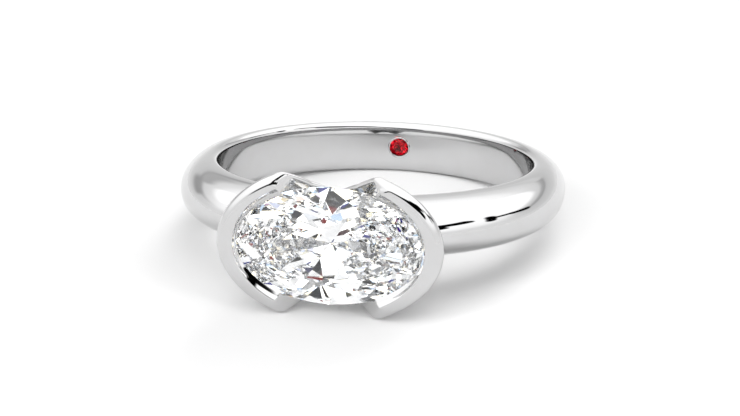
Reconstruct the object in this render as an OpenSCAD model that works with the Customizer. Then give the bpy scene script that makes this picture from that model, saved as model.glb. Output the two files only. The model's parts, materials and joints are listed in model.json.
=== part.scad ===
// Oval engagement ring: a polished band that thickens towards its head, two half
// bezels that hold an oval brilliant by the ends of its long axis, and a small round
// accent stone set flush in the wall of the finger hole, opposite the head.
//
// Each piece is drawn in the ring's own frame, with the finger hole along Z, the head
// towards -Y and the stone's long axis along X. The ring is then laid down as it rests
// by itself: on the two lower corners of the bezel and the edge at the back of the band.
// A level is a distance from the axis of the finger hole towards the head.

/* [Finger hole] */
// Diameter of the finger hole
finger_d = 17; // [16:0.1:19]
// Radius that eases the two edges of the finger hole
comfort_r = 0.5; // [0.3:0.05:0.6]

/* [Band] */
// Width of the band at its back
band_w_back = 2.9; // [2.6:0.05:3]
// Width of the band under the head
band_w_head = 3; // [2.8:0.05:3.3]
// Thickness of the band at its back
band_t_back = 1.95; // [1.7:0.05:2.2]
// Thickness of the band halfway round, at its two sides
band_t_side = 1.8; // [1.6:0.05:2.2]
// Thickness of the band under the head
band_t_head = 3; // [2.6:0.05:3.2]

/* [Bezel] */
// Half of the bezel's length, along the stone's long axis
bezel_a = 5.43; // [5.4:0.01:5.55]
// Half of the bezel's width, along the stone's short axis
bezel_b = 3.83; // [3.78:0.01:3.9]
// Height of the lip over the wall of the finger hole
lip_h = 4.75; // [4.65:0.05:5.05]
// Width and height of the rounding on the lip's outer edge
lip_round = 0.36; // [0.3:0.01:0.38]
// Width of the flat on top of the lip, at the two ends of the stone
lip_flat_end = 0.47; // [0.35:0.01:0.5]
// Width of that flat where it is narrowest, next to the notches
lip_flat_side = 0.17; // [0.1:0.01:0.22]
// Width of the bevel from the lip down to the stone, at the two ends of the stone
bevel_end = 0.18; // [0.1:0.01:0.2]
// Width of that bevel where it is widest, next to the notches
bevel_side = 0.53; // [0.45:0.01:0.55]
// Depth of that bevel
bevel_d = 0.23; // [0.18:0.01:0.26]
// Inward lean of the bezel's outer wall at the lip, in mm for each mm of depth
wall_lean = 0.8; // [0.65:0.01:0.85]
// Further lean gained with depth, in mm for each square mm
wall_curve = 0.03; // [0:0.01:0.05]
// Share of that lean at the two ends of the stone
wall_end_share = 0.75; // [0.6:0.05:0.8]

/* [Notches] */
// Half of the gap between the half bezels, at the lip
gap_half = 2.5; // [2.2:0.05:2.7]
// Slope of each end face of the half bezels, from upright
notch_slope = 45; // [40:1:50]

/* [Centre stone] */
// Length of the oval stone
stone_l = 9.1; // [9:0.02:9.12]
// Width of the oval stone
stone_w = 5.7; // [5.66:0.01:5.72]
// Table of the stone, as a share of its length and width
table_share = 0.58; // [0.5:0.01:0.62]
// Height of the crown
crown_h = 0.82; // [0.7:0.01:0.95]
// Thickness of the girdle
girdle_t = 0.16; // [0.14:0.01:0.2]
// Depth of the pavilion
pavilion_h = 2.4; // [2.2:0.05:2.5]

/* [Accent stone] */
// Diameter of the round accent stone
accent_d = 1.14; // [1:0.02:1.3]
// Width of the burnished edge round the accent stone
accent_rim = 0.04; // [0.03:0.01:0.06]
// Height of the accent stone above the middle of the band
accent_lift = 0.08; // [0:0.02:0.2]

/* [Fit] */
// Gap between a stone's girdle and the metal round it
stone_gap = 0.03; // [0.02:0.01:0.05]
// Depth of the free space under a stone's point
point_gap = 0.15; // [0.1:0.01:0.2]

/* [Hidden] */

finger_r = finger_d / 2;
overcut = 1;

// Steps of the swept band, of the eased edge and dome of its section, and of the bezel
band_steps = 96;
edge_steps = 3;
dome_steps = 7;
bezel_sides = 72;
round_steps = 4;
wall_steps = 7;
hole_fn = 48;
bore_fn = 180;

// Angle at which the eased edge meets the wall of the finger hole, and how far inside
// that wall the band is drawn before it is bored
edge_start = 25;
bore_stock = 0.3;
// How sharply the band's thickness rises towards the head, and falls towards the back
head_power = 1.5;
back_power = 2;

// Levels of the bezel: its lip, its widest oval, the foot of the bevel and the point of
// the notch
lip_n = finger_r + lip_h;
wide_n = lip_n - lip_round;
bevel_n = lip_n - bevel_d;
notch_n = lip_n - gap_half / tan(notch_slope);
// Depth at which its leaning wall ends, and the two levels of its root, which is
// narrower than the band and lies inside it
wall_d = 2.3;
root_n = finger_r + 1.9;
base_n = finger_r + 0.9;
root_inset = 0.2;

// Levels and half-axes of the centre stone
girdle_drop = 0.1;
stone_half = [stone_l / 2, stone_w / 2];
girdle_n = bevel_n - girdle_drop;
culet_n = girdle_n - girdle_t - pavilion_h;

// Cut of the stones: main facets round the stone, points of the girdle for each of them,
// and the shares of the half-axes at which the star facets end, the lower halves of the
// pavilion meet and the culet lies
mains = 8;
fine = 4;
star_share = 0.79;
lower_share = 0.26;
culet_share = 0.02;

// Sizes of the accent stone, from the shares of a round brilliant, and how far its table
// lies below the wall of the finger hole
accent_half = [accent_d / 2, accent_d / 2];
accent_crown = 0.15 * accent_d;
accent_girdle = 0.03 * accent_d;
accent_pavilion = 0.43 * accent_d;
accent_sink = 0.02;
accent_seat = accent_sink + accent_crown + accent_girdle + accent_pavilion + point_gap;

// The ring rests on the lower corners of the bezel and the lower edge at its back
corner_x = (wide_n - notch_n) * tan(notch_slope);
corner_v = bezel_b * sqrt(1 - pow(corner_x / bezel_a, 2));
back_edge_r = finger_r + comfort_r;
tilt = atan((corner_v - band_w_back / 2) / (wide_n + back_edge_r));
rest_z = corner_v * cos(tilt) - wide_n * sin(tilt);

// Foremost and rearmost points of the tilted ring
front_y = (girdle_n + crown_h) * cos(tilt) + stone_half.y * table_share * sin(tilt);
back_dome = [(band_t_back - comfort_r) * cos(tilt), band_w_back / 2 * sin(tilt)];
back_y = back_edge_r * cos(tilt) + norm(back_dome);

// Thickness and width of the band at an angle round the ring, measured from the head
function band_t(a) = cos(a) > 0
    ? band_t_side + (band_t_head - band_t_side) * pow(cos(a), head_power)
    : band_t_side + (band_t_back - band_t_side) * pow(cos(a), back_power);
function band_w(a) = band_w_back + (band_w_head - band_w_back) * (1 + cos(a)) / 2;

// Half of the band's section, as [radius, height] from the finger hole to the crown:
// a short run of stock inside the hole, the eased edge and the dome
function eased_edge(half_w) = [
    for (i = [0:edge_steps])
        let (a = edge_start + (90 - edge_start) * i / edge_steps)
            [finger_r + comfort_r * (1 - cos(a)), half_w - comfort_r * (1 - sin(a))]
];
function dome(t, half_w) = [
    for (i = [1:dome_steps])
        let (a = 90 * (1 - i / dome_steps))
            [finger_r + comfort_r + (t - comfort_r) * cos(a), half_w * sin(a)]
];
function stock(edge) =
    let (r = finger_r - bore_stock)
        [r, edge.y - (edge.x - r) / tan(edge_start)];
function half_section(t, half_w) =
    let (edge = eased_edge(half_w))
        concat([stock(edge[0])], edge, dome(t, half_w));
function mirrored(half) = [for (i = [len(half) - 2:-1:0]) [half[i].x, -half[i].y]];
function section(t, w) =
    let (half = half_section(t, w / 2))
        concat(half, mirrored(half));

// Places a point of the band's section at an angle round the ring
function round_ring(p, a) = [p.x * sin(a), -p.x * cos(a), p.y];

// Faces between rings of points: "rows" bands of "sides" squares, each cut in two
function grid_faces(rows, sides) = [
    for (i = [0:rows - 1], j = [0:sides - 1])
        let (k = (j + 1) % sides, base = i * sides)
            each [
                [base + j, base + k, base + sides + k],
                [base + j, base + sides + k, base + sides + j]
            ]
];
// Joins the last ring of points to the first
function closed_loop(faces, count) = [for (f = faces) [for (v = f) v % count]];
// Turns faces inside out
function turned(faces) = [for (f = faces) [for (i = [len(f) - 1:-1:0]) f[i]]];

module band() {
    angles = [for (i = [0:band_steps - 1]) 360 * i / band_steps];
    points = [for (a = angles) each [for (p = section(band_t(a), band_w(a))) round_ring(p, a)]];
    count = len(points);
    faces = grid_faces(band_steps, count / band_steps);
    polyhedron(points, turned(closed_loop(faces, count)));
}

// A solid through ovals, given from top to bottom as rows of [level, half-length, half-width]
module oval_stack(rows) {
    points = [
        for (r = rows, j = [0:bezel_sides - 1])
            let (a = 360 * j / bezel_sides)
                [r[1] * cos(a), r[2] * sin(a), r[0]]
    ];
    count = len(points);
    top = [for (j = [bezel_sides - 1:-1:0]) j];
    bottom = [for (j = [0:bezel_sides - 1]) count - bezel_sides + j];
    polyhedron(points, concat([top], grid_faces(len(rows) - 1, bezel_sides), [bottom]));
}

// Turns what is drawn upright along Z to face the way of the head
module towards_head() {
    rotate([90, 0, 0]) children();
}

// Ovals of the bezel's outer wall, drawn in by its lean at each depth, and of its
// rounded edge at each angle of the rounding
function lean(d) = wall_lean * d + wall_curve * d * d;
function wall_row(d) = [wide_n - d, bezel_a - wall_end_share * lean(d), bezel_b - lean(d)];
function rounding_row(a) =
    let (inset = lip_round * (1 - cos(a)))
        [wide_n + lip_round * sin(a), bezel_a - inset, bezel_b - inset];

module bezel_cup() {
    rounding = [for (i = [round_steps:-1:0]) rounding_row(90 * i / round_steps)];
    wall = [for (i = [1:wall_steps]) wall_row(wall_d * i / wall_steps)];
    root_a = bezel_a - wall_end_share * lean(wide_n - root_n);
    root_b = band_w_head / 2 - root_inset;
    root = [[root_n, root_a, root_b], [base_n, root_a - root_inset, root_b - root_inset]];
    towards_head() oval_stack(concat(rounding, wall, root));
}

// The V that parts the cup into two halves, above and below the stone
module notch() {
    top_n = lip_n + overcut;
    flare = (top_n - notch_n) * tan(notch_slope);
    half_h = bezel_b + overcut;
    translate([0, 0, -half_h])
        linear_extrude(2 * half_h)
            polygon([[0, -notch_n], [flare, -top_n], [-flare, -top_n]]);
}

module half_bezels() {
    difference() {
        bezel_cup();
        notch();
    }
}

// The room for the centre stone: bevel, groove for the girdle and cone for the pavilion
module stone_seat() {
    bevel = [bevel_end, bevel_side];
    lip_edge = [bezel_a - lip_round - lip_flat_end, bezel_b - lip_round - lip_flat_side];
    mouth = lip_edge + bevel * overcut / bevel_d;
    foot = lip_edge - bevel;
    groove = [stone_half.x + stone_gap, stone_half.y + stone_gap];
    towards_head() oval_stack([
        [lip_n + overcut, mouth.x, mouth.y],
        [bevel_n, foot.x, foot.y],
        [girdle_n + stone_gap, groove.x, groove.y],
        [girdle_n - girdle_t - stone_gap, groove.x, groove.y],
        [culet_n - point_gap, point_gap, point_gap]
    ]);
}

module finger_bore() {
    cylinder(h = 2 * bezel_b, r = finger_r, center = true, $fn = bore_fn);
}

// The drilled hole of the accent stone, with its burnished edge
module accent_hole() {
    hole_r = accent_half.x + stone_gap;
    translate([0, finger_r - overcut, accent_lift])
        rotate([-90, 0, 0])
            cylinder(h = overcut + accent_seat, r = hole_r, $fn = hole_fn);
    translate([0, finger_r - accent_rim, accent_lift])
        rotate([-90, 0, 0])
            cylinder(h = 2 * accent_rim, r1 = hole_r + 2 * accent_rim, r2 = hole_r, $fn = hole_fn);
}

// Facets of a brilliant, drawn on a unit circle and stretched to the stone's half-axes,
// which keeps each facet flat. The main facets meet the girdle at whole steps round the
// stone, and the star and half facets meet at half steps, in the joints.
function polar(r, a, z) = [r * cos(a), r * sin(a), z];
function stretched(p, half) = [p.x * half.x, p.y * half.y, p.z];
// Height of a joint, which lies in the plane of the main facets next to it; "inner" is
// the [share, height] at which those facets end
function joint_z(inner, share, edge_z) =
    edge_z + (inner.y - edge_z) * (1 - share * cos(180 / mains)) / (1 - inner.x);
// Height at which the half facet under a joint meets the girdle, at an angle from the
// end of the main facet: the facet is flat, so the girdle's edge comes out scalloped
function edge_height(joint, edge_z, a) =
    let (
        mid = 90 / mains,
        chord = cos(mid),
        slope = (joint.y - edge_z) / (chord * (1 - joint.x))
    )
        edge_z - slope * (cos(a - mid) - chord);
function edge_ring(joint, edge_z) = [
    for (k = [0:mains - 1], q = [0:fine - 1])
        let (
            step = 360 / mains,
            a = q * step / fine,
            from_main = min(a, step - a)
        )
            polar(1, k * step + a, edge_height(joint, edge_z, from_main))
];
function cut_points(inner, share, edge_z) =
    let (
        joint = [share, joint_z(inner, share, edge_z)],
        step = 360 / mains
    )
        concat(
            [for (k = [0:mains - 1]) polar(inner.x, k * step, inner.y)],
            [for (k = [0:mains - 1]) polar(joint.x, (k + 0.5) * step, joint.y)],
            edge_ring(joint, edge_z)
        );
// Faces of those points, in the order that turns a pavilion's facets outwards: a star,
// a main and two halves for each step
function cut_faces(start) =
    let (joint = start + mains, edge = start + 2 * mains)
        [
            for (k = [0:mains - 1])
                let (
                    next = (k + 1) % mains,
                    last = (k + mains - 1) % mains,
                    e = edge + k * fine,
                    end = edge + next * fine
                )
                    each [
                        [start + k, joint + k, start + next],
                        [start + k, joint + last, e, joint + k],
                        [joint + k, e, e + 1, e + 2],
                        [joint + k, e + 2, e + 3, end]
                    ]
        ];

// A brilliant with the top of its girdle at the origin and its table towards +Z
module brilliant(half, crown, girdle, pavilion) {
    upper = cut_points([table_share, crown], star_share, 0);
    lower = cut_points([culet_share, -girdle - pavilion], lower_share, -girdle);
    count = len(upper);
    edge = 2 * mains;
    round_n = mains * fine;
    table = [for (k = [mains - 1:-1:0]) k];
    culet = [for (k = [0:mains - 1]) count + k];
    girdle_faces = [
        for (j = [0:round_n - 1])
            let (k = (j + 1) % round_n)
                [edge + j, edge + k, count + edge + k, count + edge + j]
    ];
    points = [for (p = concat(upper, lower)) stretched(p, half)];
    facets = concat(turned(cut_faces(0)), girdle_faces, cut_faces(count));
    polyhedron(points, concat([table], facets, [culet]));
}

// Lays the ring down at the tilt at which it rests, centred over the origin
module at_rest() {
    translate([0, (front_y - back_y) / 2, rest_z])
        rotate([-tilt, 0, 0]) children();
}

module ring_body() {
    color("gainsboro")
        at_rest()
            difference() {
                union() {
                    band();
                    half_bezels();
                }
                finger_bore();
                stone_seat();
                accent_hole();
            }
}

module centre_stone() {
    color("aliceblue")
        at_rest()
            translate([0, -girdle_n, 0])
                towards_head()
                    brilliant(stone_half, crown_h, girdle_t, pavilion_h);
}

module accent_stone() {
    color("crimson")
        at_rest()
            translate([0, finger_r + accent_sink + accent_crown, accent_lift])
                towards_head()
                    brilliant(accent_half, accent_crown, accent_girdle, accent_pavilion);
}

ring_body();
centre_stone();
accent_stone();
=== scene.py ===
"""Dresses the oval engagement ring: polished white metal, an oval brilliant and a red accent.

The metal is modelled in millimetres in the ring's own frame, with the finger hole along Z,
the head towards -Y and the stone's long axis along X. Each finished piece is then laid down
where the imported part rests, in metres. A level is a distance from the axis of the finger
hole towards the head.
"""

import json
import logging
import math
from collections.abc import Callable, Iterator
from contextlib import contextmanager
from dataclasses import dataclass
from typing import NamedTuple

import bmesh
import bpy
from mathutils import Matrix, Vector


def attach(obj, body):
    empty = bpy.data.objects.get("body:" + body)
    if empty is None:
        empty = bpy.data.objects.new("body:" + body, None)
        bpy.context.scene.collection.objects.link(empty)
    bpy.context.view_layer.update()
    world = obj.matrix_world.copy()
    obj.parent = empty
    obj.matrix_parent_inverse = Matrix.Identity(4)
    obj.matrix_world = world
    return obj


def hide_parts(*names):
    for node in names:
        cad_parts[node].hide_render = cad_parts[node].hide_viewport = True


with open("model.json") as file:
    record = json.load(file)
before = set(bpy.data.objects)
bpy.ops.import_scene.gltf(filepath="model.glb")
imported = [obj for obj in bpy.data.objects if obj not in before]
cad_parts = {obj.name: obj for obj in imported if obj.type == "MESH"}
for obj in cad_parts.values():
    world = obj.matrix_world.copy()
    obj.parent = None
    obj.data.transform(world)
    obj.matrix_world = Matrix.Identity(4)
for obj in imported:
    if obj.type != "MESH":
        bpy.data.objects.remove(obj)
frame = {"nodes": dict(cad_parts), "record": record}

LOG = logging.getLogger("oval_ring")
MM = 0.001
MERGE_MM = 1e-4
SHARE_STEP = 1e-4  # A step along a row that is small enough to measure its length by.
QUARTER_TURN = math.pi / 2
OVERHEAD_DEG = 90.0
FIRST_BOUNCE = 0.5  # A count of bounces is whole, so below this there are none.
STONE_BOUNCES = 32
BODY = "root"

Colour = tuple[float, float, float]
Stops = tuple[tuple[float, float], ...]

WHITE: Colour = (1.0, 1.0, 1.0)


def deselect_all() -> None:
    """Leaves no object selected and none in edit mode."""
    if bpy.context.object and bpy.context.object.mode != "OBJECT":
        bpy.ops.object.mode_set(mode="OBJECT")
    bpy.ops.object.select_all(action="DESELECT")


def activate(piece: bpy.types.Object) -> None:
    """Makes a piece the only selected object, and the active one."""
    deselect_all()
    piece.select_set(True)
    bpy.context.view_layer.objects.active = piece


def named(name: str) -> bpy.types.Object:
    """Names the object that was just added, and its mesh, and returns it."""
    piece = bpy.context.object
    piece.name = name
    piece.data.name = name
    return piece


@contextmanager
def editing_all() -> Iterator[None]:
    """Holds the active piece in edit mode, with all of it selected at the start."""
    bpy.ops.object.mode_set(mode="EDIT")
    bpy.ops.mesh.select_all(action="SELECT")
    yield
    bpy.ops.object.mode_set(mode="OBJECT")


def select_edges(piece: bpy.types.Object, test: Callable[[bmesh.types.BMEdge], bool]) -> None:
    """Selects the edges of a piece in edit mode that pass a test, and no others."""
    bpy.ops.mesh.select_mode(type="EDGE")
    bpy.ops.mesh.select_all(action="DESELECT")
    mesh = bmesh.from_edit_mesh(piece.data)
    for edge in mesh.edges:
        if test(edge):
            edge.select_set(True)
    bmesh.update_edit_mesh(piece.data)


def apply_modifier(piece: bpy.types.Object, kind: str, **settings: object) -> None:
    """Adds a modifier to a piece, sets it and applies it."""
    activate(piece)
    modifier = piece.modifiers.new(kind.title(), kind)
    for name, value in settings.items():
        setattr(modifier, name, value)
    bpy.ops.object.modifier_apply(modifier=modifier.name)


def cut_away(piece: bpy.types.Object, cutter: bpy.types.Object) -> None:
    """Cuts the cutter's shape out of a piece and throws the cutter away."""
    apply_modifier(piece, "BOOLEAN", operation="DIFFERENCE", solver="EXACT", object=cutter)
    bpy.data.objects.remove(cutter)


def recalculate_normals(piece: bpy.types.Object) -> None:
    """Merges a closed piece's doubles and turns its faces outwards."""
    activate(piece)
    with editing_all():
        bpy.ops.mesh.remove_doubles(threshold=MERGE_MM)
        bpy.ops.mesh.normals_make_consistent(inside=False)


@dataclass(frozen=True)
class RestingPlace:
    """Where the ring lies, from its own frame in millimetres to the row frame in metres."""

    centre: Vector
    axis: Vector
    finger_r: float

    @classmethod
    def of_record(cls, record: dict) -> "RestingPlace":
        """Reads the finger hole's centre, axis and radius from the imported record."""
        hole = next(m for m in record["mounts"] if m["name"] == "finger_hole")
        return cls(Vector(hole["pos_m"]), Vector(hole["axis"]), hole["dims"]["r_mm"])

    def lay_down(self, piece: bpy.types.Object) -> None:
        """Turns, scales and moves a piece's mesh to where the ring rests."""
        tilt = math.atan2(self.axis.y, self.axis.z)
        turn = Matrix.Rotation(-tilt, 4, "X")
        piece.data.transform(Matrix.Translation(self.centre) @ turn @ Matrix.Scale(MM, 4))
        piece.data.update()


class Oval(NamedTuple):
    """One oval of a piece that stands towards the head."""

    level: float
    half_length: float
    half_width: float

    def point(self, angle: float) -> Vector:
        """The oval's point at an angle from the stone's long axis."""
        x = self.half_length * math.cos(angle)
        return Vector((x, -self.level, self.half_width * math.sin(angle)))


def arc_point(start: Vector, corner: Vector, end: Vector, share: float) -> Vector:
    """A point of the round arc that takes the place of a square corner."""
    pull = 2 * share * (1 - share) * math.cos(QUARTER_TURN / 2)
    near, far = (1 - share) ** 2, share**2
    return (start * near + corner * pull + end * far) / (near + pull + far)


def eased(before: Oval, corner: Oval, after: Oval, reach: float, steps: int) -> list[Oval]:
    """Ovals that round off one corner of a profile.

    Args:
        before: The oval before the corner.
        corner: The oval at the corner.
        after: The oval after the corner.
        reach: How far from the corner the rounding starts.
        steps: How many bands the rounding has.

    Returns:
        The ovals that take the corner's place.
    """
    middle = Vector(corner)
    start = middle + (Vector(before) - middle).normalized() * reach
    end = middle + (Vector(after) - middle).normalized() * reach
    return [Oval(*arc_point(start, middle, end, i / steps)) for i in range(steps + 1)]


def oval_solid(name: str, rows: list[Oval], sides: int) -> bpy.types.Object:
    """Models a closed solid through ovals by extruding a round of edges from row to row.

    Args:
        name: The new object's name.
        rows: The ovals, from the top down.
        sides: Points round each oval.

    Returns:
        The solid, in the ring's own frame.
    """
    top = rows[0]
    deselect_all()
    bpy.ops.mesh.primitive_circle_add(vertices=sides, radius=1, fill_type="NOTHING")
    piece = named(name)
    with editing_all():
        bpy.ops.transform.resize(value=(top.half_length, top.half_width, 1))
        bpy.ops.transform.translate(value=(0, 0, top.level))
        bpy.ops.mesh.edge_face_add()
        for above, below in zip(rows, rows[1:]):
            drop = (0, 0, below.level - above.level)
            bpy.ops.mesh.extrude_region_move(TRANSFORM_OT_translate={"value": drop})
            bpy.ops.transform.resize(value=(below.half_length / above.half_length,
                                            below.half_width / above.half_width, 1))
    piece.data.transform(Matrix.Rotation(QUARTER_TURN, 4, "X"))
    recalculate_normals(piece)
    return piece


@dataclass(frozen=True)
class Band:
    """The D-shaped band, thickened towards the head, with eased edges at the finger hole."""

    finger_r: float
    comfort_r: float = 0.34
    width_back: float = 2.9
    width_head: float = 3.0
    thick_back: float = 1.95
    thick_side: float = 1.8
    thick_head: float = 3.0
    head_power: float = 1.5
    back_power: float = 2.0
    stations: int = 288
    wall_steps: int = 6
    edge_steps: int = 8
    dome_steps: int = 36

    def thickness(self, angle: float) -> float:
        """The band's thickness at an angle from the head."""
        share = math.cos(angle)
        if share > 0:
            swell = share**self.head_power
            return self.thick_side + (self.thick_head - self.thick_side) * swell
        swell = abs(share) ** self.back_power
        return self.thick_side + (self.thick_back - self.thick_side) * swell

    def width(self, angle: float) -> float:
        """The band's width at an angle from the head."""
        share = (1 + math.cos(angle)) / 2
        return self.width_back + (self.width_head - self.width_back) * share

    def outline(self) -> list[tuple[float, float]]:
        """The section at the side of the band, as radius and height, once round."""
        half_w, comfort = self.width(QUARTER_TURN) / 2, self.comfort_r
        dome_r, dome_t = self.finger_r + comfort, self.thick_side - comfort
        flat = half_w - comfort
        wall = [(self.finger_r, flat * (2 * i / self.wall_steps - 1))
                for i in range(1, self.wall_steps)]
        upper = [(dome_r - comfort * math.cos(QUARTER_TURN * i / self.edge_steps),
                  flat + comfort * math.sin(QUARTER_TURN * i / self.edge_steps))
                 for i in range(self.edge_steps)]
        dome = [(dome_r + dome_t * math.sin(math.pi * i / self.dome_steps),
                 half_w * math.cos(math.pi * i / self.dome_steps))
                for i in range(self.dome_steps + 1)]
        lower = [(r, -z) for r, z in reversed(upper)]
        return wall + upper + dome + lower

    def swollen(self, point: Vector) -> Vector:
        """Moves a point of the evenly swept band to its own thickness and width."""
        radius = math.hypot(point.x, point.y)
        angle = math.atan2(point.x, -point.y)
        half_0, half = self.width(QUARTER_TURN) / 2, self.width(angle) / 2
        comfort = self.comfort_r
        dome_r, flat = self.finger_r + comfort, half_0 - comfort
        if radius > dome_r:
            stretch = (self.thickness(angle) - comfort) / (self.thick_side - comfort)
            new_r, height = dome_r + (radius - dome_r) * stretch, point.z * half / half_0
        elif abs(point.z) > flat:
            new_r, height = radius, point.z + (half - half_0) * math.copysign(1, point.z)
        else:
            new_r, height = radius, point.z * (half - comfort) / flat
        return Vector((new_r * math.sin(angle), -new_r * math.cos(angle), height))

    def build(self) -> bpy.types.Object:
        """Spins the section round the finger hole and swells it towards the head."""
        outline = self.outline()
        deselect_all()
        bpy.ops.mesh.primitive_circle_add(vertices=len(outline), fill_type="NOTHING")
        piece = named("band")
        for vertex, (radius, height) in zip(piece.data.vertices, outline):
            vertex.co = (0, -radius, height)
        with editing_all():
            bpy.ops.mesh.spin(steps=self.stations, angle=math.tau, center=(0, 0, 0),
                              axis=(0, 0, 1))
        recalculate_normals(piece)
        for vertex in piece.data.vertices:
            vertex.co = self.swollen(vertex.co)
        return piece


@dataclass(frozen=True)
class Seat:
    """The room for the centre stone: a bevel, a groove for its girdle and a cone."""

    bevel_level: float = 13.02
    girdle_level: float = 12.92
    girdle_thick: float = 0.16
    point_level: float = 10.36
    stone_half_length: float = 4.55
    stone_half_width: float = 2.85
    stone_gap: float = 0.03
    point_gap: float = 0.15
    cutter_sides: int = 96

    def foot_level(self) -> float:
        """The level of the cone's foot, under the stone's point."""
        return self.point_level - self.point_gap

    def groove(self) -> list[Oval]:
        """The two edges of the groove, from the top down."""
        size = (self.stone_half_length + self.stone_gap,
                self.stone_half_width + self.stone_gap)
        return [Oval(self.girdle_level + self.stone_gap, *size),
                Oval(self.girdle_level - self.girdle_thick - self.stone_gap, *size)]

    def cone_at(self, level: float) -> Oval:
        """The cone's oval at a level."""
        top, foot = self.groove()[1], self.foot_level()
        share = (level - foot) / (top.level - foot)
        return Oval(level, self.point_gap + (top.half_length - self.point_gap) * share,
                    self.point_gap + (top.half_width - self.point_gap) * share)

    def cone_cutter(self, clearance: float) -> bpy.types.Object:
        """A solid that cuts the band back behind the bezel's own seat."""
        ovals = map(self.cone_at, (self.bevel_level, self.foot_level()))
        rows = [Oval(o.level, o.half_length + clearance, o.half_width + clearance)
                for o in ovals]
        return oval_solid("seat_cutter", rows, self.cutter_sides)


@dataclass(frozen=True)
class Bezel:
    """The cup that holds the stone, cut to two half bezels by a V above and below it.

    A half bezel is a grid of points: each row lies on an oval, from the root up the outer
    wall, over the lip and down the seat, and its two ends lie on the faces of the V.
    """

    seat: Seat
    lip_level: float = 13.25
    half_length: float = 5.43
    half_width: float = 3.83
    lip_round: float = 0.46
    lip_crease: float = math.radians(18)
    lip_edge: tuple[float, float] = (4.6, 3.25)
    ledge: Oval = Oval(13.11, 4.53, 3.04)
    bevel_edge: tuple[float, float] = (4.42, 2.77)
    edge_reach: float = 0.04
    wall_lean: float = 0.8
    wall_curve: float = 0.03
    wall_ease: float = 0.08
    wall_end_share: float = 0.75
    gap_half: float = 2.5
    root: tuple[Oval, ...] = (Oval(9.4, 3.6, 1.1), Oval(10.4, 3.8, 1.3))
    columns: int = 120
    wall_rows: int = 24
    round_rows: int = 10
    edge_rows: int = 3
    cone_rows: int = 12
    corner_round: float = 0.44
    corner_inside: float = 0.03
    corner_columns: int = 10

    def wide_level(self) -> float:
        """The level of the widest oval, at the foot of the lip's rounding."""
        return self.lip_level - self.lip_round

    def notch_level(self) -> float:
        """The level of the point of the V, whose faces slope at 45 degrees."""
        return self.lip_level - self.gap_half

    def half_gap(self, level: float) -> float:
        """Half the width of the V at a level."""
        return max(0.0, level - self.notch_level())

    def wall(self, depth: float) -> Oval:
        """The outer wall's oval at a depth below the widest one."""
        lean = self.wall_lean * (math.hypot(depth, self.wall_ease) - self.wall_ease)
        lean += self.wall_curve * depth**2
        return Oval(self.wide_level() - depth, self.half_length - self.wall_end_share * lean,
                    self.half_width - lean)

    def rounding(self, share: float) -> Oval:
        """The oval at a share of the way up the lip's rounding, which ends in a faint crease."""
        angle = (QUARTER_TURN - self.lip_crease) * share
        radius = self.lip_round / math.cos(self.lip_crease)
        inset = radius * (1 - math.cos(angle))
        return Oval(self.wide_level() + radius * math.sin(angle),
                    self.half_length - inset, self.half_width - inset)

    def outside(self) -> list[Oval]:
        """The ovals from the root up the outer wall and over the lip's rounding."""
        depth = self.wide_level() - self.notch_level()
        walls = [self.wall(depth * (1 - i / self.wall_rows)) for i in range(self.wall_rows)]
        rounds = [self.rounding(i / self.round_rows) for i in range(self.round_rows + 1)]
        return [*self.root, *walls, *rounds]

    def inside(self) -> list[Oval]:
        """The ovals from the lip's inner edge down the ledge, the groove and the cone."""
        lip = Oval(self.lip_level, *self.lip_edge)
        bevel = Oval(self.seat.bevel_level, *self.bevel_edge)
        groove = self.seat.groove()
        top, notch = groove[1].level, self.notch_level()
        cone = [self.seat.cone_at(top + (notch - top) * (i + 1) / self.cone_rows)
                for i in range(self.cone_rows)]
        foot = self.seat.cone_at(self.seat.foot_level())
        reach, steps = self.edge_reach, self.edge_rows
        return [*eased(self.rounding(1), lip, self.ledge, reach, steps),
                *eased(lip, self.ledge, bevel, reach, steps),
                *eased(self.ledge, bevel, groove[0], reach, steps), *groove, *cone, foot]

    def point(self, oval: Oval, share: float) -> Vector:
        """A point of the left half bezel, whose ends lie on the faces of the V.

        Args:
            oval: The row that the point is on.
            share: How far along the row it is, from the upper end at 0 to the lower at 1.

        Returns:
            The point, in the ring's own frame.
        """
        start = math.acos(-self.half_gap(oval.level) / oval.half_length)
        return oval.point(start + (math.tau - 2 * start) * share)

    def row(self, oval: Oval, radius: float, inward: Vector) -> list[Vector]:
        """The points of a row, bent round a corner at each end to the faces of the V.

        Args:
            oval: The row's oval.
            radius: The size of the corner's rounding.
            inward: The way along the upper face of the V into the metal.

        Returns:
            The points from the upper end to the lower.
        """
        edge = self.point(oval, 0)
        reach = radius * SHARE_STEP / (self.point(oval, SHARE_STEP) - edge).length
        start, end = self.point(oval, reach), edge + inward * radius
        corner = [arc_point(end, edge, start, i / self.corner_columns)
                  for i in range(self.corner_columns)]
        count = self.columns - 2 * self.corner_columns
        middle = [self.point(oval, reach + (1 - 2 * reach) * i / count)
                  for i in range(count + 1)]
        flipped = [Vector((p.x, p.y, -p.z)) for p in reversed(corner)]
        return [*corner, *middle, *flipped]

    def grid(self) -> list[list[Vector]]:
        """The points of all the rows of the left half bezel."""
        outside, inside = self.outside(), self.inside()
        rows = [*outside, *inside]
        edges = [self.point(oval, 0) for oval in rows]
        across = Vector((1, -1, 0)).normalized()
        points = []
        for number, oval in enumerate(rows):
            before, after = edges[max(number - 1, 0)], edges[min(number + 1, len(rows) - 1)]
            inward = across.cross(after - before).normalized()
            size = self.corner_round if number < len(outside) else self.corner_inside
            radius = min(size, self.half_gap(oval.level) / 2)
            points.append(self.row(oval, radius, inward))
        return points

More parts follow.
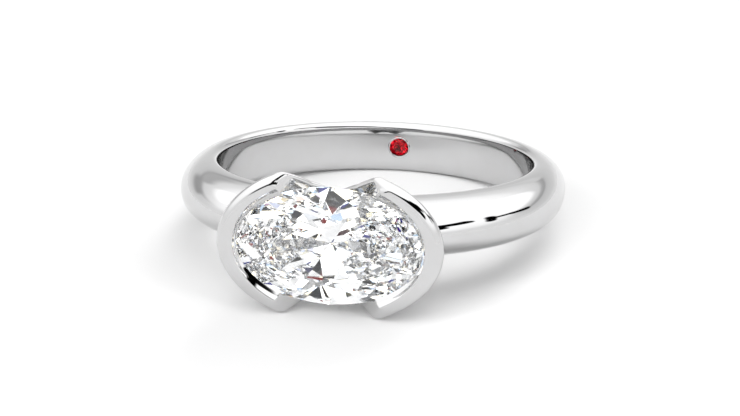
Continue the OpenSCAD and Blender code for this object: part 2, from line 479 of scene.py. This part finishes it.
    def build(self) -> bpy.types.Object:
        """Shapes one half bezel from a grid, closes its V faces and mirrors it."""
        rows = self.grid()
        last = len(rows) - 1
        deselect_all()
        bpy.ops.mesh.primitive_grid_add(
            x_subdivisions=self.columns, y_subdivisions=last, size=1
        )
        piece = named("bezel")
        for vertex in piece.data.vertices:
            column = round((vertex.co.x + 0.5) * self.columns)
            row = round((vertex.co.y + 0.5) * last)
            vertex.co = rows[row][column]
        for side in (-1, 1):
            self._close_notch(piece, side)
        apply_modifier(piece, "MIRROR", merge_threshold=MERGE_MM)
        with editing_all():
            bpy.ops.mesh.fill_holes(sides=0)
        recalculate_normals(piece)
        return piece

    def _close_notch(self, piece: bpy.types.Object, side: int) -> None:
        """Fills the face of the V above the stone, for side 1, or below it, for side -1."""

        def on_face(vertex: bmesh.types.BMVert) -> bool:
            level = -vertex.co.y
            on_plane = abs(vertex.co.x + self.half_gap(level)) < MERGE_MM
            above_notch = level > self.notch_level() - MERGE_MM
            return on_plane and above_notch and vertex.co.z * side > 0

        activate(piece)
        with editing_all():
            select_edges(piece, lambda e: e.is_boundary and all(map(on_face, e.verts)))
            bpy.ops.mesh.edge_face_add()


@dataclass(frozen=True)
class AccentHole:
    """The drilled hole of the accent stone and the edge that is burnished over its girdle."""

    finger_r: float
    lift: float = 0.08
    radius: float = 0.6
    depth: float = 1.0
    rim_width: float = 0.055
    rim_height: float = 0.05
    sides: int = 64
    rim_sides: int = 16

    def drill(self) -> bpy.types.Object:
        """A solid that cuts the hole, from inside the finger hole outwards."""
        deselect_all()
        bpy.ops.mesh.primitive_cylinder_add(
            vertices=self.sides, radius=self.radius, depth=2 * self.depth,
            location=(0, self.finger_r, self.lift), rotation=(QUARTER_TURN, 0, 0),
        )
        drill = named("drill")
        bpy.ops.object.transform_apply()
        return drill

    def build_rim(self) -> bpy.types.Object:
        """Spins the rim's small round section about the hole and bends it to the wall."""
        deselect_all()
        bpy.ops.mesh.primitive_circle_add(vertices=self.rim_sides, fill_type="NOTHING")
        piece = named("accent_rim")
        with editing_all():
            bpy.ops.transform.resize(value=(self.rim_width, self.rim_height, 1))
            bpy.ops.transform.translate(value=(self.radius, self.finger_r, 0))
            bpy.ops.mesh.spin(steps=self.sides, angle=math.tau,
                              center=(0, self.finger_r, 0), axis=(0, 1, 0))
            bpy.ops.transform.translate(value=(0, 0, self.lift))
        recalculate_normals(piece)
        for vertex in piece.data.vertices:
            vertex.co.y -= self.finger_r - math.sqrt(self.finger_r**2 - vertex.co.x**2)
        return piece


class NodeWriter:
    """Adds nodes to a tree and joins them, one short call for each."""

    def __init__(self, tree: bpy.types.NodeTree) -> None:
        """Keeps the tree that the nodes go into."""
        self.tree = tree

    def add(self, kind: str, *inputs: object, **settings: object) -> bpy.types.Node:
        """Adds a node.

        Args:
            kind: The node's type, without its ShaderNode prefix.
            inputs: A value or a socket for each live input in turn.
            settings: Properties of the node.

        Returns:
            The node.
        """
        node = self.tree.nodes.new(f"ShaderNode{kind}")
        for name, value in settings.items():
            setattr(node, name, value)
        live = [socket for socket in node.inputs if socket.enabled]
        for socket, value in zip(live, inputs):
            self.feed(socket, value)
        return node

    def feed(self, socket: bpy.types.NodeSocket, value: object) -> None:
        """Joins a socket to another, or sets its value, which is opaque if it is a colour."""
        if isinstance(value, bpy.types.NodeSocket):
            self.tree.links.new(value, socket)
        elif socket.type == "RGBA":
            socket.default_value = (*value, 1)
        else:
            socket.default_value = value

    def result(self, kind: str, *inputs: object, **settings: object) -> bpy.types.NodeSocket:
        """The first live output of a node that is added as by add."""
        node = self.add(kind, *inputs, **settings)
        return next(socket for socket in node.outputs if socket.enabled)

    def maths(self, operation: str, *inputs: object) -> bpy.types.NodeSocket:
        """The result of a maths node."""
        return self.result("Math", *inputs, operation=operation)

    def vector(self, operation: str, *inputs: object) -> bpy.types.NodeSocket:
        """The result of a vector maths node."""
        return self.result("VectorMath", *inputs, operation=operation)

    def ramp(self, value: object, low: object, high: object, at_low: float = 0.0,
             at_high: float = 1.0) -> bpy.types.NodeSocket:
        """A smooth ramp between two values of its input."""
        return self.result("MapRange", value, low, high, at_low, at_high,
                           interpolation_type="SMOOTHSTEP")

    def blend(self, share: object, first: object, second: object) -> bpy.types.NodeSocket:
        """A value between two others."""
        return self.result("Mix", share, first, second, data_type="FLOAT")

    def tint(self, share: object, first: object, second: object) -> bpy.types.NodeSocket:
        """A colour between two others."""
        return self.result("Mix", share, first, second, data_type="RGBA")

    def noise(self, scale: float, detail: float) -> bpy.types.NodeSocket:
        """A noise that stays fixed to the object."""
        place = self.add("TexCoord").outputs["Object"]
        return self.result("TexNoise", place, scale, detail)

    def profile(self, share: object, stops: Stops, full: float) -> bpy.types.NodeSocket:
        """A grey level that follows its input through a row of stops.

        Args:
            share: The input, from 0 to 1.
            stops: Each stop's place, from 0 to full, and its level.
            full: The place that an input of 1 stands for.

        Returns:
            The level's socket.
        """
        node = self.add("ValToRGB", share)
        elements = node.color_ramp.elements
        while len(elements) < len(stops):
            elements.new(0.5)
        for element, (place, level) in zip(elements, stops):
            element.position = place / full
            element.color = (level, level, level, 1)
        return node.outputs["Color"]


def new_material(
    name: str,
) -> tuple[bpy.types.Material, NodeWriter, bpy.types.bpy_prop_collection]:
    """Makes a material, what writes its nodes and the inputs of its one shader."""
    material = bpy.data.materials.new(name)
    material.use_nodes = True
    tree = material.node_tree
    return material, NodeWriter(tree), tree.nodes["Principled BSDF"].inputs


@dataclass(frozen=True)
class WhiteMetal:
    """Mirror-polished white gold with the faint wander that a polishing wheel leaves, and a
    painted shade: its colour goes near black after a few bounces from wall to wall.
    """

    colour: Colour = (0.665, 0.665, 0.67)
    worn_colour: Colour = (0.65, 0.648, 0.65)
    worn_range: tuple[float, float] = (0.3, 0.7)
    # Painted shade: the near-black colour that reflections bouncing inside the band are painted
    # with.
    painted_shade_colour: Colour = (0.03, 0.03, 0.03)
    painted_shade_bounces: float = 2.9
    roughness: float = 0.045
    wander: float = 0.02
    grain: float = 900.0
    grain_detail: float = 3.0

    def make(self) -> bpy.types.Material:
        """Builds the nodes: the base colour is painted near black where light has bounced from
        wall to wall inside the band, a painted shade.
        """
        material, write, shader = new_material("polished_white_metal")
        noise = write.noise(self.grain, self.grain_detail)
        worn = write.ramp(noise, *self.worn_range)
        colour = write.tint(worn, self.colour, self.worn_colour)
        # Painted shade: past a few mirror bounces outside the stones, the base colour is painted
        # towards near black.
        path = write.add("LightPath").outputs
        outside_stones = write.maths("LESS_THAN", path["Transmission Depth"], FIRST_BOUNCE)
        bounces = write.maths("MULTIPLY", path["Glossy Depth"], outside_stones)
        painted_shade = write.ramp(bounces, 0.0, self.painted_shade_bounces)
        rough = write.ramp(noise, 0.0, 1.0, self.roughness - self.wander,
                           self.roughness + self.wander)
        write.feed(shader["Base Color"], write.tint(painted_shade, colour, self.painted_shade_colour))
        write.feed(shader["Metallic"], 1.0)
        write.feed(shader["Roughness"], rough)
        return material


@dataclass(frozen=True)
class CutStone:
    """A cut stone that is clear inside, with two shades of its colour that drift through it.

    Attributes:
        name: The material's name.
        shade: The shade where the drift is low.
        other_shade: The shade where it is high.
        grain: How fine the drift is.
        ior: The stone's index of refraction.
        gleam: How much of the light from outside its faces mirror.
        drift_range: The values of the drift between which the shades blend.
        drift_detail: How many finer layers the drift has.
    """

    name: str
    shade: Colour
    other_shade: Colour
    grain: float
    ior: float
    gleam: Colour = (0.42, 0.42, 0.42)
    drift_range: tuple[float, float] = (0.4, 0.6)
    drift_detail: float = 2.0

    def make(self) -> bpy.types.Material:
        """Builds the material's nodes."""
        material, write, shader = new_material(self.name)
        drift = write.ramp(write.noise(self.grain, self.drift_detail), *self.drift_range)
        write.feed(shader["Base Color"], write.tint(drift, self.shade, self.other_shade))
        write.feed(shader["Specular Tint"], self.gleam)
        write.feed(shader["Transmission Weight"], 1.0)
        write.feed(shader["Roughness"], 0.0)
        write.feed(shader["IOR"], self.ior)
        return material


CLEAR_STONE = CutStone("clear_brilliant", (1.0, 1.0, 1.0), (0.97, 0.985, 1.0), 500, 2.417)
RED_STONE = CutStone("red_brilliant", (0.25, 0.0, 0.003), (0.9, 0.012, 0.025), 6000, 1.77)


class Direction(NamedTuple):
    """A way out of the studio: degrees round from the front, towards +X, and above the floor."""

    azimuth: float
    height: float


class Flag(NamedTuple):
    """A strip of the sky with a light level of its own: a dark flag, a white card or a lamp."""

    start: Direction
    end: Direction
    half_width: float
    softness: float
    level: float


def flag_group() -> bpy.types.NodeTree:
    """The node group that masks one flag by how far a direction is from its middle line."""
    group = bpy.data.node_groups.new("flag", "ShaderNodeTree")
    for name, kind in (("Direction", "Vector"), ("Start", "Vector"), ("End", "Vector"),
                       ("Half width", "Float"), ("Softness", "Float")):
        group.interface.new_socket(name, in_out="INPUT", socket_type=f"NodeSocket{kind}")
    group.interface.new_socket("Mask", in_out="OUTPUT", socket_type="NodeSocketFloat")
    write = NodeWriter(group)
    given = group.nodes.new("NodeGroupInput").outputs
    run = write.vector("SUBTRACT", given["End"], given["Start"])
    away = write.vector("SUBTRACT", given["Direction"], given["Start"])
    along = write.maths("DIVIDE", write.vector("DOT_PRODUCT", away, run),
                        write.vector("DOT_PRODUCT", run, run))
    reached = write.vector("SCALE", run, write.result("Clamp", along))
    distance = write.vector("LENGTH", write.vector("SUBTRACT", away, reached))
    inner = write.maths("SUBTRACT", given["Half width"], given["Softness"])
    outer = write.maths("ADD", given["Half width"], given["Softness"])
    mask = write.ramp(distance, inner, outer, 1.0, 0.0)
    write.feed(group.nodes.new("NodeGroupOutput").inputs["Mask"], mask)
    return group


class Compass:
    """The azimuth and the height of a way out of the studio, in degrees."""

    def __init__(self, write: NodeWriter, way: bpy.types.NodeSocket) -> None:
        """Adds the nodes that work both out."""
        self.write = write
        parts = write.add("SeparateXYZ", way).outputs
        self.back = parts["Y"]
        height = write.maths("DEGREES", write.maths("ARCSINE", parts["Z"]))
        front = write.maths("MULTIPLY", parts["Y"], -1.0)
        azimuth = write.maths("DEGREES", write.maths("ARCTAN2", parts["X"], front))
        self.share = write.maths("DIVIDE", height, OVERHEAD_DEG)
        self.angles = write.result("CombineXYZ", azimuth, height)

    def profile(self, stops: Stops) -> bpy.types.NodeSocket:
        """A level for each height, from the floor to overhead."""
        return self.write.profile(self.share, stops, OVERHEAD_DEG)

    def hang(self, flags: tuple[Flag, ...], group: bpy.types.NodeTree,
             light: bpy.types.NodeSocket) -> bpy.types.NodeSocket:
        """The light with flags hung in front of it, one after the other.

        Args:
            flags: The flags. A later one covers those before it.
            group: The node group that masks a flag.
            light: The light without them.

        Returns:
            The light with them.
        """
        for flag in flags:
            mask = self.write.result("Group", node_tree=group)
            inputs = mask.node.inputs
            self.write.feed(inputs["Direction"], self.angles)
            self.write.feed(inputs["Start"], (*flag.start, 0))
            self.write.feed(inputs["End"], (*flag.end, 0))
            self.write.feed(inputs["Half width"], flag.half_width)
            self.write.feed(inputs["Softness"], flag.softness)
            light = self.write.blend(mask, light, flag.level)
        return light


@dataclass(frozen=True)
class FloorSky:
    """What lights the floor: light from overhead and a few soft lamps lower down."""

    overhead: Stops = ((0, 1.1), (15, 0.0), (45, 0.0), (60, 0.7), (90, 2.25))
    lamps: tuple[Flag, ...] = (
        Flag(Direction(-22, 30), Direction(22, 30), 16.0, 6.0, 2.2),
        Flag(Direction(60, 8), Direction(60, 20), 14.0, 5.0, 5.6),
        Flag(Direction(-65, 25), Direction(-40, 40), 15.0, 6.0, 3.6),
        Flag(Direction(150, 30), Direction(175, 38), 12.0, 5.0, 4.5),
        Flag(Direction(152, 52), Direction(178, 52), 10.0, 5.0, 2.7),
    )

    def build(self, compass: Compass, group: bpy.types.NodeTree) -> bpy.types.NodeSocket:
        """Adds the nodes that give the light from a way out of the studio."""
        return compass.hang(self.lamps, group, compass.profile(self.overhead))


@dataclass(frozen=True)
class MetalSky:
    """What the polished metal mirrors: a white sky, a grey haze low down and flags in it.

    Attributes:
        strength: How bright the white is.
        behind: The haze behind the ring, as a level for each height.
        ahead: The haze in front of it.
        back_range: How far back a way points while one haze turns into the other.
        flags: The flags in the sky.
    """

    strength: float = 1.61
    behind: Stops = (
        (0, 0.6), (3, 0.58), (6, 0.52), (12, 0.48), (14.5, 0.45), (16.5, 0.3), (18.5, 0.36),
        (21, 0.56), (29, 0.68), (34, 0.85), (45, 1.0),
    )
    ahead: Stops = (
        (0, 0.66), (3, 0.66), (6, 0.64), (12, 0.66), (20, 0.85), (30, 0.95), (45, 1.0),
    )
    back_range: tuple[float, float] = (0.0, 0.7)
    flags: tuple[Flag, ...] = (
        Flag(Direction(118, 35), Direction(148, 35), 10.0, 3.0, 1.0),
        Flag(Direction(-180, 18), Direction(-173, 18), 3.0, 2.0, 0.52),
        Flag(Direction(171, 18), Direction(180, 18), 3.0, 2.0, 0.52),
        Flag(Direction(-156, 19.5), Direction(-144, 21.5), 3.5, 2.5, 0.36),
        Flag(Direction(-142, 14), Direction(-126, 14), 4.0, 3.5, 0.28),
        Flag(Direction(-135, 34), Direction(-112, 34), 5.0, 3.0, 1.0),
        Flag(Direction(38, 25), Direction(60, 34), 4.0, 1.2, 0.0),
        Flag(Direction(-22, 10), Direction(14, 27), 5.5, 1.5, 0.0),
        Flag(Direction(16, 28), Direction(40, 35), 8.0, 1.5, 0.0),
        Flag(Direction(40, 35), Direction(58, 41), 7.0, 1.5, 0.0),
        Flag(Direction(60, 43), Direction(84, 41), 5.0, 1.2, 0.0),
        Flag(Direction(100, 35), Direction(93, 26), 4.0, 1.2, 0.0),
        Flag(Direction(98, 32), Direction(112, 25), 2.4, 1.0, 0.0),
        Flag(Direction(112, 24), Direction(122, 18), 3.0, 1.2, 0.0),
    )

    def build(self, compass: Compass, group: bpy.types.NodeTree) -> bpy.types.NodeSocket:
        """Adds the nodes that give the light from a way out of the studio."""
        write = compass.write
        light = write.blend(write.ramp(compass.back, *self.back_range),
                            compass.profile(self.ahead), compass.profile(self.behind))
        light = compass.hang(self.flags, group, light)
        return write.maths("MULTIPLY", light, self.strength)


@dataclass(frozen=True)
class StoneSky:
    """What the cut stones gather: small white, warm and cool lamps, with dark gaps between.

    Attributes:
        bright: The level of most patches.
        middling: The level of the dimmer ones.
        dark: The level of the gaps.
        dark_share: The share of the sky that is gaps.
        middling_share: The share that is gaps or dimmer patches.
        patch_scale: How small the patches are.
        place: Where in the endless pattern of patches the sky lies.
        split: How far red and blue are bent away from green.
        fire: How much of that bend shows.
        tinted_share: The share of the patches that is warm, and the share that is cool.
        warm: The warmest tint.
        cool: The coolest tint.
    """

    bright: float = 2.7
    middling: float = 0.9
    dark: float = 0.02
    dark_share: float = 0.25
    middling_share: float = 0.42
    patch_scale: float = 5.5
    place: tuple[float, float, float] = (13.6, 9.1, 4.7)
    split: float = 0.025
    fire: float = 0.08
    tinted_share: float = 0.4
    warm: Colour = (1.0, 0.88, 0.62)
    cool: Colour = (0.62, 0.78, 1.0)

    def build(self, write: NodeWriter, way: bpy.types.NodeSocket) -> bpy.types.NodeSocket:
        """Adds the nodes that give the light from a way out of the studio."""
        group = self._patches()
        x, y, z = self.place
        patches = []
        for bend in (self.split, 0.0, -self.split):
            patch = write.add("Group", node_tree=group)
            moved = write.vector("ADD", way, (x + bend, y, z + bend))
            write.feed(patch.inputs["Direction"], moved)
            patches.append(patch.outputs)
        red, green, blue = (patch["Level"] for patch in patches)
        light = write.result("CombineColor", write.blend(self.fire, green, red), green,
                             write.blend(self.fire, green, blue))
        return write.vector("MULTIPLY", light, patches[1]["Tint"])

    def _patches(self) -> bpy.types.NodeTree:
        """The node group that gives each patch of the sky its level and tint, at random."""
        group = bpy.data.node_groups.new("lamp_patches", "ShaderNodeTree")
        for name, in_out, kind in (("Direction", "INPUT", "Vector"),
                                   ("Level", "OUTPUT", "Float"), ("Tint", "OUTPUT", "Color")):
            group.interface.new_socket(name, in_out=in_out, socket_type=f"NodeSocket{kind}")
        write = NodeWriter(group)
        given = group.nodes.new("NodeGroupInput").outputs
        cells = write.add("TexVoronoi", given["Direction"], self.patch_scale)
        chances = write.add("SeparateColor", cells.outputs["Color"]).outputs
        is_dark = write.maths("LESS_THAN", chances["Red"], self.dark_share)
        is_middling = write.maths("LESS_THAN", chances["Red"], self.middling_share)
        level = write.blend(is_middling, self.bright, self.middling)
        level = write.blend(is_dark, level, self.dark)
        is_warm = write.ramp(chances["Green"], 0.0, self.tinted_share, 1.0, 0.0)
        is_cool = write.ramp(chances["Green"], 1.0 - self.tinted_share, 1.0)
        tint = write.tint(is_warm, WHITE, self.warm)
        tint = write.tint(is_cool, tint, self.cool)
        result = group.nodes.new("NodeGroupOutput").inputs
        write.feed(result["Level"], level)
        write.feed(result["Tint"], tint)
        return group


@dataclass(frozen=True)
class Studio:
    """The pale floor, the soft light round it and the camera."""

    floor_size: float = 4.0
    floor_seen: float = 0.95
    floor_mirrored: float = 0.9
    azimuth_deg: float = 9.711
    elevation_deg: float = 19.385
    distance_mm: float = 87.0
    heading_deg: float = 9.904
    pitch_deg: float = 20.342
    lens_mm: float = 77.58
    sensor_mm: float = 36.0
    nearest_m: float = 0.001
    farthest_m: float = 100.0

    def build_floor(self) -> None:
        """Lays the floor under the ring: white to the eye, greyer in the polished metal."""
        deselect_all()
        bpy.ops.mesh.primitive_plane_add(size=self.floor_size)
        floor = named("floor")
        material, write, shader = new_material("pale_floor")
        mirrored = write.add("LightPath").outputs["Is Glossy Ray"]
        grey = write.blend(mirrored, self.floor_seen, self.floor_mirrored)
        write.feed(shader["Base Color"], grey)
        write.feed(shader["Roughness"], 1.0)
        write.feed(shader["Specular IOR Level"], 0.0)
        floor.data.materials.append(material)

    def build_light(self) -> None:
        """Surrounds the ring with the light that each of its finishes needs."""
        world = bpy.data.worlds.new("studio")
        world.use_nodes = True
        write = NodeWriter(world.node_tree)
        way = write.add("TexCoord").outputs["Generated"]
        path = write.add("LightPath").outputs
        compass, group = Compass(write, way), flag_group()
        light = write.blend(path["Is Glossy Ray"], FloorSky().build(compass, group),
                            MetalSky().build(compass, group))
        light = write.tint(path["Is Transmission Ray"], light, StoneSky().build(write, way))
        light = write.tint(path["Is Camera Ray"], light, WHITE)
        write.feed(world.node_tree.nodes["Background"].inputs["Color"], light)
        bpy.context.scene.world = world
        bpy.context.scene.view_settings.view_transform = "Standard"

    def build_camera(self, centre: Vector) -> None:
        """Puts the camera round the finger hole's centre, as in the photograph."""
        azimuth, elevation = math.radians(self.azimuth_deg), math.radians(self.elevation_deg)
        level = math.cos(elevation)
        back = Vector((math.sin(azimuth) * level, -math.cos(azimuth) * level,
                       math.sin(elevation)))
        data = bpy.data.cameras.new("camera")
        data.lens, data.sensor_width = self.lens_mm, self.sensor_mm
        data.clip_start, data.clip_end = self.nearest_m, self.farthest_m
        camera = bpy.data.objects.new("camera", data)
        bpy.context.scene.collection.objects.link(camera)
        camera.location = centre + back * self.distance_mm * MM
        camera.rotation_euler = (math.radians(90 - self.pitch_deg), 0,
                                 math.radians(self.heading_deg))
        bpy.context.scene.camera = camera


@dataclass(frozen=True)
class RingMetal:
    """The band, the bezel and the accent stone's rim, as one polished metal."""

    place: RestingPlace
    clearance: float = 0.02
    smooth_deg: float = 32.0

    def build(self, finish: bpy.types.Material) -> None:
        """Models the pieces, lays them down and dresses them."""
        seat = Seat()
        hole = AccentHole(self.place.finger_r)
        band = Band(self.place.finger_r).build()
        cut_away(band, seat.cone_cutter(self.clearance))
        cut_away(band, hole.drill())
        for piece in (band, Bezel(seat).build(), hole.build_rim()):
            self._finish(piece, finish)

    def _finish(self, piece: bpy.types.Object, finish: bpy.types.Material) -> None:
        """Lays a piece down, smooths it and hands it to the frame."""
        self.place.lay_down(piece)
        activate(piece)
        bpy.ops.object.shade_smooth_by_angle(angle=math.radians(self.smooth_deg))
        apply_modifier(piece, "WEIGHTED_NORMAL", keep_sharp=True)
        piece.data.materials.clear()
        piece.data.materials.append(finish)
        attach(piece, BODY)
        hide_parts("ring_body")
        LOG.info("%s: %d faces", piece.name, len(piece.data.polygons))


def dress_stone(node: str, finish: CutStone) -> None:
    """Gives a packed stone its material."""
    stone = frame["nodes"][node]
    material = finish.make()
    for place in stone.material_slots:
        place.material = material
    LOG.info("%s: %s", node, finish.name)


def set_bounces() -> None:
    """Lets light bounce inside the stones until it finds a way out."""
    cycles = bpy.context.scene.cycles
    cycles.max_bounces = cycles.glossy_bounces = cycles.transmission_bounces = STONE_BOUNCES


def main() -> None:
    """Builds and dresses the ring, then the studio round it."""
    logging.basicConfig(level=logging.INFO)
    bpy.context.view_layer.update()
    place = RestingPlace.of_record(frame["record"])
    RingMetal(place).build(WhiteMetal().make())
    dress_stone("centre_stone", CLEAR_STONE)
    dress_stone("accent_stone", RED_STONE)
    studio = Studio()
    studio.build_floor()
    studio.build_light()
    studio.build_camera(place.centre)
    set_bounces()


if __name__ == "__main__":
    main()
